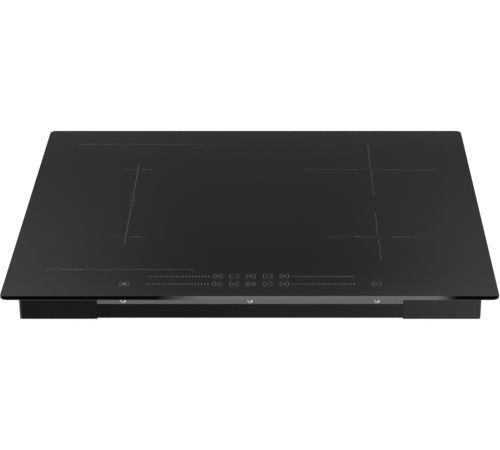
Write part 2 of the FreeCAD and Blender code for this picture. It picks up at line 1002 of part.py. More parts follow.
def key_points():
    """Five columns of keys in two rows, and one key beyond each slider in the front row."""
    half = (key_columns - 1) / 2
    columns = [(k - half) * key_pitch for k in range(key_columns)]
    points = [(x, front_key_y + pad_shift) for x in columns]
    points += [(x, front_key_y + key_row_pitch) for x in columns]
    points += [(side * outer_key_x, front_key_y + pad_shift) for side in (-1, 1)]
    return points


def touch_pads():
    low = touch_under + board_thick
    pads = [
        pipe(x, y, low, glass_under, pad_radius, pad_radius - pad_wall) for x, y in key_points()
    ]
    half_l = slider_length / 2
    half_w = slider_width / 2
    for side in (-1, 1):
        x = side * slider_centre
        for y in (front_key_y + pad_shift, front_key_y + key_row_pitch):
            pads.append(box(x - half_l, x + half_l, y - half_w, y + half_w, low, glass_under))
    return pads


def ribbon_start_y():
    half, front, rear = touch_tray_outline()
    return rear - 2 * touch_tray_shelf - touch_tray_wall


def ribbon_socket_front():
    return filter_board_y - filter_board_depth / 2 + board_screw_inset


def touch_ribbon_cable():
    level = floor_top + ribbon_lift
    y = ribbon_start_y()
    points = [Vec(ribbon_x, y, touch_under), Vec(ribbon_x, y, level)]
    points.append(Vec(ribbon_x, ribbon_socket_front(), level))
    path = bent_path(points, ribbon_bend)
    half_w = ribbon_width / 2
    half_t = ribbon_thick / 2
    corners = [
        Vec(ribbon_x - half_w, y - half_t, touch_under),
        Vec(ribbon_x + half_w, y - half_t, touch_under),
        Vec(ribbon_x + half_w, y + half_t, touch_under),
        Vec(ribbon_x - half_w, y + half_t, touch_under),
    ]
    profile = Part.makePolygon(corners + corners[:1])
    return path.makePipeShell([profile], True, False)


def filter_board():
    plain = board(0, filter_board_y, filter_board_width, filter_board_depth)
    half = ribbon_width / 2 + 2
    front = ribbon_socket_front()
    socket = box(
        ribbon_x - half, ribbon_x + half, front, front + socket_depth, board_top, board_top + socket_height
    )
    return join([plain, socket])


# Wires
def coil_leads():
    leads = []
    for _, x, y, zone, _ in coils:
        for px, py in lead_points(x, y, zone):
            leads.append(rod(px, py, board_top, former_under - lead_top_drop, lead_radius))
    return leads


def mains_wires():
    level = floor_top + wire_lift
    end_y = filter_board_y + filter_board_depth / 2 - 12
    wires = []
    for x in pole_points()[1:4]:
        points = [
            Vec(x, terminal_front, level),
            Vec(x, end_y, level),
            Vec(x, end_y, board_top),
        ]
        wires.append(wire(points, wire_radius, wire_bend))
    return wires


def link_wires():
    """Pairs of wires carry the filtered mains over to each power board."""
    level = floor_top + link_lift
    far = power_board_x - power_board_width / 2 + link_inset
    first_y = power_board_y + sink_length / 2 + board_screw_inset
    wires = []
    for side in (-1, 1):
        for y in (first_y, first_y + link_pitch):
            points = [
                Vec(side * link_reach, y, board_top),
                Vec(side * link_reach, y, level),
                Vec(side * far, y, level),
                Vec(side * far, y, board_top),
            ]
            wires.append(wire(points, wire_radius, wire_bend))
    return wires


os.makedirs("parts", exist_ok=True)

save("glass_top", glass_top())
save("worktop_seal", worktop_seal())
save("glass_adhesive", glass_adhesive())
save("glass_support_frame", glass_support_frame())
save("frame_screws", *[frame_screw(seat, outward) for seat, outward in frame_screw_seats()])
save("bottom_tray", bottom_tray())
save("front_left_corner_cover", corner_cover(-1))
save("front_right_corner_cover", corner_cover(1))

save("coil_carrier_plate", coil_carrier_plate())
post_tops = [(x, y, carrier_under) for x, y in carrier_post_points()]
carrier_posts = [tapped_post(x, y, floor_top, z, post_radius) for x, y, z in post_tops]
save("carrier_posts", *carrier_posts)

power_boards = [("left", -power_board_x), ("right", power_board_x)]
hole_points = board_holes(0, filter_board_y, filter_board_width, filter_board_depth)
for side, x in power_boards:
    hole_points += board_holes(x, power_board_y, power_board_width, power_board_depth)
    power_board = board(x, power_board_y, power_board_width, power_board_depth)
    save(side + "_power_board", power_board)
    save(side + "_heat_sink", heat_sink(x + sink_offset))
    save(side + "_fan_housing", fan_housing(x + fan_offset))
    save(side + "_fan_impeller", fan_impeller(x + fan_offset))
save("fan_motors", *[fan_motor(x + fan_offset) for _, x in power_boards])
save("filter_board", filter_board())
posts = [tapped_post(x, y, floor_top, board_under, board_post_radius) for x, y in hole_points]
save("board_posts", *posts)
inner_screws = [inner_screw(x, y, board_top) for x, y in hole_points]
inner_screws += [inner_screw(x, y, carrier_top) for x, y in carrier_post_points()]
save("inner_screws", *inner_screws)

packages = []
blocks = capacitors(-40, filter_board_y + 15, 2)
chokes = [choke(0, filter_board_y - 20)]
for _, x in power_boards:
    packages += transistors(x + sink_offset)
    blocks += capacitors(x + 48, power_board_y + 70, 2)
    blocks += capacitors(x + 48, power_board_y - 50, 2)
    chokes.append(choke(x + 52, power_board_y - 85))
save("power_transistors", *packages)
save("film_capacitors", *blocks)
save("line_chokes", *chokes)

save("terminal_block", terminal_block())
save("terminal_screws", *terminal_screws())
save("terminal_lid", terminal_lid())
save("cable_inlet_bush", cable_inlet_bush())

save("touch_board", touch_board())
save("touch_board_carrier", touch_board_carrier())
save("touch_pads", *touch_pads())
save("touch_ribbon_cable", touch_ribbon_cable())
save("inner_wiring", *coil_leads(), *mains_wires(), *link_wires())

carrier_springs = []
for name, x, y, zone, ferrites in coils:
    save(name + "_coil_former", coil_former(x, y, zone, ferrites))
    save(name + "_coil_winding", coil_winding(x, y, zone))
    save(name + "_coil_mica", coil_mica(x, y, zone))
    save(name + "_coil_ferrites", *coil_ferrites(x, y, zone, ferrites))
    save(name + "_sensor", coil_sensor(x, y))
    save(name + "_sensor_spring", sensor_spring(x, y))
    for px, py in peg_points(x, y, ferrites):
        top = former_under - spring_gap
        carrier_springs.append(
            spring(px, py, carrier_top, top, spring_radius, spring_wire, spring_turns)
        )
save("coil_springs", *carrier_springs)
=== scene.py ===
import math

import bmesh
import bpy
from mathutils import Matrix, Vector


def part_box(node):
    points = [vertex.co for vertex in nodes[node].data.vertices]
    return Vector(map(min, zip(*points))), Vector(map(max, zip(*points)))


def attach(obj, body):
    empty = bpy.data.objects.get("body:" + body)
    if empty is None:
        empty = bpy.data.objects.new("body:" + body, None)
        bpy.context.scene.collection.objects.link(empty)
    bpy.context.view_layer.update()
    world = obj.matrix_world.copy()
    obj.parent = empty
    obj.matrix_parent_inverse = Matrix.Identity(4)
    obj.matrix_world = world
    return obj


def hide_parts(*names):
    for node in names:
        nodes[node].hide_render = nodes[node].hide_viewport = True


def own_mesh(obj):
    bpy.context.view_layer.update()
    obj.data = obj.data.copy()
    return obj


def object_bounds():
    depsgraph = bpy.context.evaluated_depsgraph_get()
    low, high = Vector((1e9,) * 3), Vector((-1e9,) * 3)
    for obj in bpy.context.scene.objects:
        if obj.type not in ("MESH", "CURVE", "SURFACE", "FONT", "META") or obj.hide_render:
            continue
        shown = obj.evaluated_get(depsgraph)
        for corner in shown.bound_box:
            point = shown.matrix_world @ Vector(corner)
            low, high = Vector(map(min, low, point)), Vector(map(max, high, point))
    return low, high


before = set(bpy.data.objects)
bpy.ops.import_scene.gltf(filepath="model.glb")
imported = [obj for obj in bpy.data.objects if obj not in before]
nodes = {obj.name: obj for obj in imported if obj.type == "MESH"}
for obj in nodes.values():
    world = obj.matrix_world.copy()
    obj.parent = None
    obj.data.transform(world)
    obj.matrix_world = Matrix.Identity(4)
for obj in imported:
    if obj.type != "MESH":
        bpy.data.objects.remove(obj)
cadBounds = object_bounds()  # the imported model's bounds; the floor is laid just under their lowest point
mm = 0.001  # the frame is in metres, the tables of sizes below are in millimetres


# node wiring: a socket that can be added, multiplied and so on
class Wire:
    def __init__(self, tree, socket=None):
        self.tree = tree
        self.socket = socket

    def make(self, kind, settings=None, sockets=None, out=0):
        node = self.tree.nodes.new(kind)
        for key, value in (settings or {}).items():
            if key == "stops":
                ramp = node.color_ramp
                ramp.elements[0].position, ramp.elements[1].position = value[0][0], value[-1][0]
                for place, _ in value[1:-1]:
                    ramp.elements.new(place)
                for element, (_, tone) in zip(ramp.elements, value):
                    element.color = tone if isinstance(tone, tuple) else (tone, tone, tone, 1)
            else:
                setattr(node, key, value)
        for key, value in (sockets or {}).items():
            target = pick(node.inputs, key)
            if isinstance(value, Wire):
                self.tree.links.new(value.socket, target)
            else:
                target.default_value = value
        return Wire(self.tree, pick(node.outputs, out)) if node.outputs else Wire(self.tree)

    def take(self, label):  # another output of the same node
        return Wire(self.tree, pick(self.socket.node.outputs, label))

    def maths(self, operation, *values):
        return self.make("ShaderNodeMath", {"operation": operation}, dict(enumerate(values)))

    def __add__(self, other):
        return self.maths("ADD", self, other)

    def __sub__(self, other):
        return self.maths("SUBTRACT", self, other)

    def __rsub__(self, other):
        return self.maths("SUBTRACT", other, self)

    def __mul__(self, other):
        return self.maths("MULTIPLY", self, other)

    def __truediv__(self, other):
        return self.maths("DIVIDE", self, other)

    def __abs__(self):
        return self.maths("ABSOLUTE", self)

    __radd__ = __add__
    __rmul__ = __mul__


def pick(sockets, key):
    if isinstance(key, int):
        return sockets[key]
    return next(s for s in sockets if key in (s.identifier, s.name))


def span(value, low, high, start=0.0, end=1.0):  # a smooth step from start to end
    return value.make(
        "ShaderNodeMapRange",
        {"interpolation_type": "SMOOTHSTEP"},
        {"Value": value, "From Min": low, "From Max": high, "To Min": start, "To Max": end},
    )


def band(value, stops):  # a smooth step up and another one down
    return span(value, *stops[:2]) * span(value, *stops[2:], 1.0, 0.0)


# patterns: size is the width of one bump or cell in metres
def noise(place, size, detail=2.0, stretch=None):
    if stretch:
        place = place.make("ShaderNodeMapping", None, {"Vector": place, "Scale": stretch})
    return place.make(
        "ShaderNodeTexNoise", None, {"Vector": place, "Scale": 1 / size, "Detail": detail}
    )


def cells(place, size, feature="F1", out="Distance"):
    return place.make(
        "ShaderNodeTexVoronoi", {"feature": feature}, {"Vector": place, "Scale": 1 / size}, out
    )


def tint(mask, low, high):
    return mask.make(
        "ShaderNodeMix",
        {"data_type": "RGBA"},
        {"Factor_Float": mask, "A_Color": (*low, 1), "B_Color": (*high, 1)},
        "Result_Color",
    )


def relief(height, strength, depth):
    return height.make(
        "ShaderNodeBump", None,
        {"Height": height, "Strength": strength, "Distance": depth}, "Normal",
    )


def axes(place):
    parts = place.make("ShaderNodeSeparateXYZ", None, {"Vector": place}, "X")
    return parts, parts.take("Y"), parts.take("Z")


def patches(place, size):  # one random value for each cell
    return axes(cells(place, size, out="Color"))[0]


def finish(name, recipe):
    made = bpy.data.materials.new(name)
    made.use_nodes = True
    shader = made.node_tree.nodes["Principled BSDF"]
    place = Wire(made.node_tree).make("ShaderNodeTexCoord", out="Object")
    for label, value in recipe(place).items():
        if isinstance(value, Wire):
            made.node_tree.links.new(value.socket, shader.inputs[label])
        else:
            shader.inputs[label].default_value = value
    return made


def paint(made, *names):
    for name in names:
        for holder in nodes[name].material_slots:
            holder.material = made
        if not nodes[name].material_slots:
            nodes[name].data.materials.append(made)


# mesh helpers
def fromBmesh(name, shape, made=None):
    bmesh.ops.recalc_face_normals(shape, faces=shape.faces)
    mesh = bpy.data.meshes.new(name)
    shape.to_mesh(mesh)
    shape.free()
    piece = bpy.data.objects.new(name, mesh)
    bpy.context.scene.collection.objects.link(piece)
    if made:
        mesh.materials.append(made)
    return piece


def stroke(shape, points, width, low, high, closed=False):
    # a flat line with mitred corners, as a closed bar from low to high
    count, sharpest = len(points), 0.3  # a sharper corner's mitre is cut short
    rings = []
    for i, (x, y) in enumerate(points):
        before = points[i - 1] if i or closed else None
        after = points[(i + 1) % count] if i < count - 1 or closed else None
        runs = []
        if before:
            runs.append(Vector((x - before[0], y - before[1])).normalized())
        if after:
            runs.append(Vector((after[0] - x, after[1] - y)).normalized())
        along = sum(runs, Vector((0, 0))).normalized()
        across = Vector((-along.y, along.x)) * (width / 2 / max(along.dot(runs[0]), sharpest))
        ring = [
            (x + s * across.x, y + s * across.y, z)
            for s, z in ((1, low), (-1, low), (-1, high), (1, high))
        ]
        rings.append([shape.verts.new([c * mm for c in corner]) for corner in ring])
    for i in range(count if closed else count - 1):
        a, b = rings[i], rings[(i + 1) % count]
        for k in range(4):
            shape.faces.new((a[k], a[(k + 1) % 4], b[(k + 1) % 4], b[k]))
    if not closed:
        shape.faces.new(rings[0])
        shape.faces.new(rings[-1][::-1])


def arc(cx, cy, radius, start, end, steps=6):
    turns = [math.radians(start + (end - start) * i / steps) for i in range(steps + 1)]
    return [(cx + radius * math.cos(t), cy + radius * math.sin(t)) for t in turns]


def lathe(shape, profile, sides):
    # profile holds (radius, height) from the axis out and back to it
    rings = []
    for radius, height in profile:
        if radius == 0:
            rings.append([shape.verts.new((0, 0, height * mm))] * sides)
            continue
        turns = [2 * math.pi * k / sides for k in range(sides)]
        circle = [(radius * math.cos(t) * mm, radius * math.sin(t) * mm) for t in turns]
        rings.append([shape.verts.new((x, y, height * mm)) for x, y in circle])
    for a, b in zip(rings, rings[1:]):
        for k in range(sides):
            corners = []
            for corner in (a[k], a[(k + 1) % sides], b[(k + 1) % sides], b[k]):
                if corner not in corners:
                    corners.append(corner)
            shape.faces.new(corners)


def islands(name):
    # the lowest and highest corner of each separate solid in a CAD node
    shape = bmesh.new()
    shape.from_mesh(nodes[name].data)
    bmesh.ops.remove_doubles(shape, verts=shape.verts, dist=1e-6)
    shape.verts.ensure_lookup_table()
    seen, found = set(), []
    for first in shape.verts:
        if first.index in seen:
            continue
        group, queue = [], [first]
        seen.add(first.index)
        while queue:
            vert = queue.pop()
            group.append(vert.co.copy())
            for edge in vert.link_edges:
                other = edge.other_vert(vert)
                if other.index not in seen:
                    seen.add(other.index)
                    queue.append(other)
        low = Vector([min(c[k] for c in group) for k in range(3)])
        high = Vector([max(c[k] for c in group) for k in range(3)])
        found.append((low, high))
    shape.free()
    return found


def newTree(name, inputs):
    tree = bpy.data.node_groups.new(name, "GeometryNodeTree")
    for side in ("INPUT", "OUTPUT"):
        tree.interface.new_socket("Geometry", in_out=side, socket_type="NodeSocketGeometry")
    for label, kind in inputs.items():
        tree.interface.new_socket(label, in_out="INPUT", socket_type="NodeSocket" + kind)
    return tree, Wire(tree).make("NodeGroupInput")


def closeTree(tree, result, material):
    whole = result.make("GeometryNodeRealizeInstances", None, {"Geometry": result})
    painted = whole.make("GeometryNodeSetMaterial", None, {"Geometry": whole, "Material": material})
    painted.make("NodeGroupOutput", None, {"Geometry": painted})
    return tree


def grow(name, base, tree, values):
    # runs a tree on a base mesh and keeps the result as a plain mesh
    piece = bpy.data.objects.new(name, base)
    bpy.context.scene.collection.objects.link(piece)
    modifier = piece.modifiers.new("grow", "NODES")
    modifier.node_group = tree
    for item in tree.interface.items_tree:
        if item.in_out == "INPUT" and item.name in values:
            modifier[item.identifier] = values[item.name]
    graph = bpy.context.evaluated_depsgraph_get()
    mesh = bpy.data.meshes.new_from_object(
        piece.evaluated_get(graph), preserve_all_data_layers=True, depsgraph=graph
    )
    piece.modifiers.remove(modifier)
    piece.data = mesh
    mesh.name = name
    return piece


def pointMesh(name, points, aims=None):
    mesh = bpy.data.meshes.new(name)
    mesh.from_pydata([tuple(p) for p in points], [], [])
    if aims:
        store = mesh.attributes.new("aim", "FLOAT_VECTOR", "POINT")
        for holder, aim in zip(store.data, aims):
            holder.vector = aim
    return mesh


def smooth(piece, degrees=35):
    for face in piece.data.polygons:
        face.use_smooth = True
    piece.data.set_sharp_from_angle(angle=math.radians(degrees))


# camera
view = {"lens": 129.5, "place": (0.0404, -2.1416, 0.9825), "down": 25.129, "shift": -0.0677}
cameraData = bpy.data.cameras.new("camera")
cameraData.sensor_width = 36
cameraData.lens = view["lens"]
cameraData.shift_x = view["shift"]
camera = bpy.data.objects.new("camera", cameraData)
camera.location = view["place"]
camera.rotation_euler = (math.radians(90 - view["down"]), 0, 0)
bpy.context.scene.collection.objects.link(camera)
bpy.context.scene.camera = camera
bpy.context.scene.view_settings.view_transform = "Standard"
print("camera placed")


# light: the whole studio is in the world, as (direction, tone) by height and by side
studio = {
    "heights": [
        (-1.0, 0.85), (-0.75, 0.7), (-0.63, 0.22), (-0.3, 0.24), (0.0, 0.28), (0.3, 0.25),
        (0.374, 0.225), (0.380, 0.20), (0.387, 0.183), (0.405, 0.18), (0.4275, 0.177),
        (0.4425, 0.164), (0.4537, 0.195), (0.459, 0.235), (0.466, 0.25), (0.52, 0.08),
        (0.6, 0.025), (0.86, 0.03), (0.92, 0.85), (1.0, 0.9),
    ],
    "low": [  # by side, for the light from below the horizon ahead
        (-1.0, 0.8), (-0.4, 0.8), (-0.25, 0.08), (-0.13, 0.08), (-0.05, 0.16), (0.0, 0.27),
        (0.05, 0.38), (0.08, 0.44), (0.1, 0.64), (0.14, 1.3), (0.3, 1.1), (0.5, 0.8), (1.0, 0.8),
    ],
    "lowRise": (-0.72, -0.62, -0.1, 0.0),
    "horizon": 0.08,  # how softly ahead turns into behind
    "least": 0.02,  # keeps the slant finite straight to the sides
    "walls": {  # a glow at both sides of the dark gap behind the hob
        "shift": 0.0135, "side": (0.025, 0.2), "rise": (0.375, 0.47),
        "power": (0.05, 0.34), "fade": (0.47, 0.6),
    },
    "softbox": {
        "side": (-0.1095, -0.0655, 0.127, 0.1445), "rise": (0.67, 0.72, 0.81, 0.85), "power": 3.2,
    },
}
world = bpy.data.worlds.new("studio")
bpy.context.scene.world = world
world.use_nodes = True
direction = Wire(world.node_tree).make("ShaderNodeTexCoord", out="Generated")
east, north, rise = axes(direction)
halfRise = rise * 0.5 + 0.5
heights = halfRise.make(
    "ShaderNodeValToRGB",
    {"stops": [((z + 1) / 2, tone) for z, tone in studio["heights"]]},
    {"Fac": halfRise},
)
behind = span(north, -studio["horizon"], studio["horizon"])
ahead = 1 - behind
slant = east / (abs(north) + studio["least"])  # to the side for one step north or south
walls, softbox = studio["walls"], studio["softbox"]
wallGlow = (
    span(abs(slant + walls["shift"]), *walls["side"])
    * span(rise, *walls["rise"], *walls["power"])
    * span(rise, *walls["fade"], 1.0, 0.0)
    * behind
)
halfSlant = slant * 0.5 + 0.5
lowLevels = halfSlant.make(
    "ShaderNodeValToRGB",
    {"stops": [((x + 1) / 2, tone) for x, tone in studio["low"]]},
    {"Fac": halfSlant},
)
lowMask = band(rise, studio["lowRise"]) * ahead
boxMask = band(slant, softbox["side"]) * band(rise, softbox["rise"]) * ahead
level = heights * (1 - lowMask) + lowLevels * lowMask + wallGlow + boxMask * softbox["power"]
backdrop = world.node_tree.nodes["Background"]
world.node_tree.links.new(level.socket, backdrop.inputs["Color"])


# a bright sheet under the hob, clear when it is seen from below
floorLook = {"reach": 12.0, "glow": 0.97, "gap": 0.1 * mm}
reach, ground = floorLook["reach"], cadBounds[0].z - floorLook["gap"]
floorMesh = bpy.data.meshes.new("floor")
floorCorners = [(x * reach, y * reach, ground) for x, y in ((-1, -1), (1, -1), (1, 1), (-1, 1))]
floorMesh.from_pydata(floorCorners, [], [(0, 1, 2, 3)])
floor = bpy.data.objects.new("floor", floorMesh)
bpy.context.scene.collection.objects.link(floor)
paper = finish(
    "floor_paper",
    lambda place: {
        "Base Color": tint(noise(place, 0.4), (0.50, 0.50, 0.50), (0.52, 0.52, 0.52)),
        "Roughness": 0.9,
        "Emission Color": (1, 1, 1, 1),
        "Emission Strength": floorLook["glow"],
    },
)
paperTree = paper.node_tree
opaque = Wire(paperTree, paperTree.nodes["Principled BSDF"].outputs[0])
clear = opaque.make("ShaderNodeBsdfTransparent")
fromBelow = opaque.make("ShaderNodeNewGeometry", out="Backfacing")
sheet = opaque.make("ShaderNodeMixShader", None, {0: fromBelow, 1: opaque, 2: clear})
paperTree.links.new(sheet.socket, paperTree.nodes["Material Output"].inputs["Surface"])
floor.data.materials.append(paper)
floor.visible_glossy = False
print("studio lit")


# black glass plate with its ground front slope
glassLook = {"rough": 0.012, "smudge": 0.015}


def blackGlass(place):
    haze = noise(place, 0.07, 3.0)
    return {
        "Base Color": tint(haze, (0.0018, 0.0018, 0.0019), (0.0026, 0.0025, 0.0026)),
        "Roughness": haze * glassLook["smudge"] + glassLook["rough"],
        "IOR": 1.52,
    }


paint(finish("black_glass_finish", blackGlass), "glass_top")
print("glass finished")


# printing on the glass, in millimetres from the middle of the plate
marks = {
    "line": 0.58, "arm": 0.44, "long": 0.78, "sign": 0.55, "power": 0.9,
    "thick": 0.03, "sunk": 0.01, "boldLift": 0.004,
}
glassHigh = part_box("glass_top")[1]
inkLow = glassHigh.z / mm - marks["sunk"]
inkHigh = inkLow + marks["thick"]
boldHigh = inkHigh + marks["boldLift"]  # dashes lie on the lines that they cross


def inkLook(tone):
    def recipe(place):
        dots = noise(place, 0.0006, 1.0)
        pale = tint(dots, (tone * 0.8,) * 3, (tone * 1.15,) * 3)
        return {"Base Color": pale, "Roughness": dots * 0.2 + 0.4}

    return recipe


zoneInk = finish("zone_ink", inkLook(0.30))
signInk = finish("sign_ink", inkLook(0.46))
brightInk = finish("bright_ink", inkLook(0.85))

# each right zone has a cross of its own
zones = {
    "left": -159.0, "right": 159.4, "rear": 118.5, "front": -94.9, "large": 91.0, "small": 70.0,
}
crossLook = {"turn": 5.5, "miss": 0.1, "dashes": ((-1, 19, 30), (1, 17, 40)), "dashWide": 1.1}


def zoneCross(shape, cx, cy, reach):
    # two hooked lines that just miss each other at the middle of the zone
    r, miss = crossLook["turn"], marks["line"] / 2 + crossLook["miss"]
    for side in (-1, 1):
        start = 90 + 90 * side
        hook = [(cx + side * miss, cy - side * reach)]
        hook += arc(cx + side * (miss + r), cy - side * (miss + r), r, start, start - 90)
        hook.append((cx + side * reach, cy - side * miss))
        stroke(shape, hook[:-1], marks["line"], inkLow, inkHigh)
        stroke(shape, hook[-2:], marks["arm"], inkLow, inkHigh)
    for side, start, end in crossLook["dashes"]:
        ends = [(cx + side * x, cy - side * miss) for x in (start, end)]
        stroke(shape, ends, crossLook["dashWide"], inkLow, boldHigh)


# the two left zones share a frame of lines, with a sign that they can be joined
flexLook = {
    "half": 90, "rear": 209.0, "front": -186.6, "gaps": (22, -21), "middle": (27, -7),
    "dashes": ((-69, -58), (-55, -45)), "dashWide": 1.7, "boxes": (18, 2), "boxHalf": (1.6, 5),
    "arms": ((-22, -0.8, marks["arm"]), (5.5, 19, 1.3), (19.5, 22, marks["line"])),
}


def flexZone(shape, cx, tops):
    half, front = flexLook["half"], flexLook["front"]
    for y in (flexLook["rear"], front):
        stroke(shape, [(cx - half, y), (cx + half, y)], marks["long"], inkLow, inkHigh)
    for dash in flexLook["dashes"]:
        stroke(shape, [(cx + x, front) for x in dash], flexLook["dashWide"], inkLow, boldHigh)
    rearEnd, frontEnd = (top + gap for top, gap in zip(tops, flexLook["gaps"]))
    for ends in ((rearEnd, flexLook["middle"][0]), (flexLook["middle"][1], frontEnd)):
        stroke(shape, [(cx, y) for y in ends], marks["long"], inkLow, inkHigh)
    wide, deep = flexLook["boxHalf"]
    for y in flexLook["boxes"]:
        box = [(cx + i * wide, y + j * deep) for i, j in ((-1, -1), (1, -1), (1, 1), (-1, 1))]
        stroke(shape, box, marks["sign"], inkLow, inkHigh, closed=True)
    for y in tops:
        for x0, x1, width in flexLook["arms"]:
            stroke(shape, [(cx + x0, y), (cx + x1, y)], width, inkLow, inkHigh)


cornerDash = {"ends": ((275.5, 243.5), (278.5, 243.5)), "width": 1.2}
zoneShape = bmesh.new()
flexZone(zoneShape, zones["left"], (zones["rear"], zones["front"]))
zoneCross(zoneShape, zones["right"], zones["rear"], zones["large"])
zoneCross(zoneShape, zones["right"], zones["front"], zones["small"])
stroke(zoneShape, cornerDash["ends"], cornerDash["width"], inkLow, inkHigh)
zoneMarks = fromBmesh("zone_marks", zoneShape, zoneInk)

# slider ticks grow from left to right
sliders = {
    "Count": 20, "Pitch": 3.85 * mm, "Width": 1.6 * mm, "First": 1.4 * mm, "Last": 2.8 * mm,
    "Thick": marks["thick"] * mm,
}


def sliderTree():
    tree, entry = newTree(
        "slider",
        {
            "Count": "Int", "Pitch": "Float", "Width": "Float", "First": "Float",
            "Last": "Float", "Thick": "Float", "Material": "Material",
        },
    )
    count, pitch = entry.take("Count"), entry.take("Pitch")
    step = entry.make("ShaderNodeCombineXYZ", None, {"X": pitch})
    line = entry.make("GeometryNodeMeshLine", None, {"Count": count, "Offset": step})
    share = entry.make("GeometryNodeInputIndex") / (count - 1)
    first = entry.take("First")
    height = first + share * (entry.take("Last") - first)
    tick = entry.make("GeometryNodeMeshCube", None, {"Size": (1, 1, 1)})
    size = entry.make(
        "ShaderNodeCombineXYZ", None,
        {"X": entry.take("Width"), "Y": height, "Z": entry.take("Thick")},
    )
    row = entry.make(
        "GeometryNodeInstanceOnPoints", None, {"Points": line, "Instance": tick, "Scale": size}
    )
    rows = entry.make("GeometryNodeInstanceOnPoints", None, {"Points": entry, "Instance": row})
    return closeTree(tree, rows, entry.take("Material"))


keys = {
    "columns": (-39.5, -19.3, 0.7, 20.95, 41.1), "rows": (-205.3, -225.4),
    "power": (-150.4, -225.4), "guard": (151.4, -225.2), "sliders": (-123.4, 51.1), "lower": 0.6,
    "width": 10.4, "depth": 11.0, "corner": 2.0, "gap": 1.2,
}
inkMiddle = (inkLow + inkHigh) / 2
starts = [
    Vector((x, y - keys["lower"], inkMiddle)) * mm for x in keys["sliders"] for y in keys["rows"]
]
sliderTicks = grow(
    "slider_ticks", pointMesh("slider_starts", starts), sliderTree(),
    {**sliders, "Material": signInk},
)


# one shape put on every point of a mesh, its Z along the point's own aim
def scatterTree():
    tree, entry = newTree("scatter", {"Shape": "Object", "Scale": "Float", "Material": "Material"})
    shape = entry.make(
        "GeometryNodeObjectInfo", {"transform_space": "ORIGINAL"},
        {"Object": entry.take("Shape")}, "Geometry",
    )
    aim = entry.make(
        "GeometryNodeInputNamedAttribute", {"data_type": "FLOAT_VECTOR"},
        {"Name": "aim"}, "Attribute",
    )
    facing = entry.make("FunctionNodeAlignRotationToVector", {"axis": "Z"}, {"Vector": aim})
    copies = entry.make(
        "GeometryNodeInstanceOnPoints", None,
        {"Points": entry, "Instance": shape, "Rotation": facing, "Scale": entry.take("Scale")},
    )
    return closeTree(tree, copies, entry.take("Material"))


scatter = scatterTree()


def spread(name, shape, points, aims, material, scale=1.0):
    values = {"Shape": shape, "Scale": scale, "Material": material}
    return grow(name, pointMesh(name + "_points", points, aims), scatter, values)


def drop(piece):  # a shape that was only copied
    mesh = piece.data
    bpy.data.objects.remove(piece)
    bpy.data.meshes.remove(mesh)


def keyFrame():
    # two rounded brackets, open at the middle of the rear and front sides
    shape = bmesh.new()
    wide, deep, r, gap = keys["width"] / 2, keys["depth"] / 2, keys["corner"], keys["gap"]
    lift = marks["thick"] / 2
    for side in (-1, 1):
        rear = arc(wide - r, deep - r, r, 90, 0)
        front = arc(wide - r, r - deep, r, 0, -90)
        path = [(gap, deep)] + rear + front + [(gap, -deep)]
        stroke(shape, [(side * x, y) for x, y in path], marks["sign"], -lift, lift)
    return fromBmesh("key_frame_shape", shape)


frameShape = keyFrame()
up = Vector((0, 0, 1))
keyPoints = [Vector((x, y, inkMiddle)) * mm for x in keys["columns"] for y in keys["rows"]]
keyPoints.append(Vector((*keys["guard"], inkMiddle)) * mm)
keyFrames = spread("key_frames", frameShape, keyPoints, [up] * len(keyPoints), signInk)
powerPoint = Vector((*keys["power"], inkMiddle)) * mm
powerFrame = spread("power_key_frame", frameShape, [powerPoint], [up], signInk)
drop(frameShape)


def signs(shape, lines, x, y, width):
    for points, closed in lines:
        stroke(shape, [(x + dx, y + dy) for dx, dy in points], width, inkLow, inkHigh, closed)


def ring(radius, start=0, end=360):
    full = end - start == 360
    path = arc(0, 0, radius, start, end, steps=16)
    return (path[:-1] if full else path, full)


def bar(*points):
    return (list(points), False)


def pane(half):
    return ([(i * half, j * half) for i, j in ((-1, -1), (1, -1), (1, 1), (-1, 1))], True)


# plain signs: zone picture, minus, clock, plus; zone, hand-over arrow, pause, keep-warm dots
zoneSign = [pane(1.9), bar((-1.9, 0), (1.9, 0))]
rearSigns = [
    zoneSign,
    [bar((-2.2, 0), (2.2, 0))],
    [ring(1.9), bar((0, 1.4), (0, 0), (1.1, 0))],
    [bar((-2.2, 0), (2.2, 0)), bar((0, -2.2), (0, 2.2))],
    zoneSign,
]
frontSigns = [
    zoneSign,
    [bar((-3, -1.5), (0, 2.0), (3, -1.5)), bar((-3, -2.6), (3, -2.6))],
    [
        bar((-1.4, -2.4), (-1.4, 2.4)), bar((1.4, -2.4), (1.4, 2.4)),
        ring(3.6, 120, 240), ring(3.6, -60, 60),
    ],
    [
        ring(1.0), bar((-3, 0), (-1.8, 0)), bar((1.8, 0), (3, 0)),
        bar((0, 1.8), (0, 3)), bar((0, -3), (0, -1.8)),
    ],
    zoneSign,
]
signShape = bmesh.new()
for row, y in zip((rearSigns, frontSigns), keys["rows"]):
    for lines, x in zip(row, keys["columns"]):
        signs(signShape, lines, x, y, marks["sign"])
guardSign = [bar((-3.2, -2.5), (0.2, 2.5)), bar((-0.4, -2.5), (3.0, 2.5))]
signs(signShape, guardSign, *keys["guard"], marks["sign"])
keySigns = fromBmesh("key_signs", signShape, signInk)
powerShape = bmesh.new()
signs(powerShape, [ring(2.1, 120, 420), bar((0, 0.3), (0, 3.2))], *keys["power"], marks["power"])
powerSign = fromBmesh("power_sign", powerShape, brightInk)
for piece in (zoneMarks, sliderTicks, keyFrames, powerFrame, keySigns, powerSign):
    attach(piece, "housing")
print("printing laid on the glass")


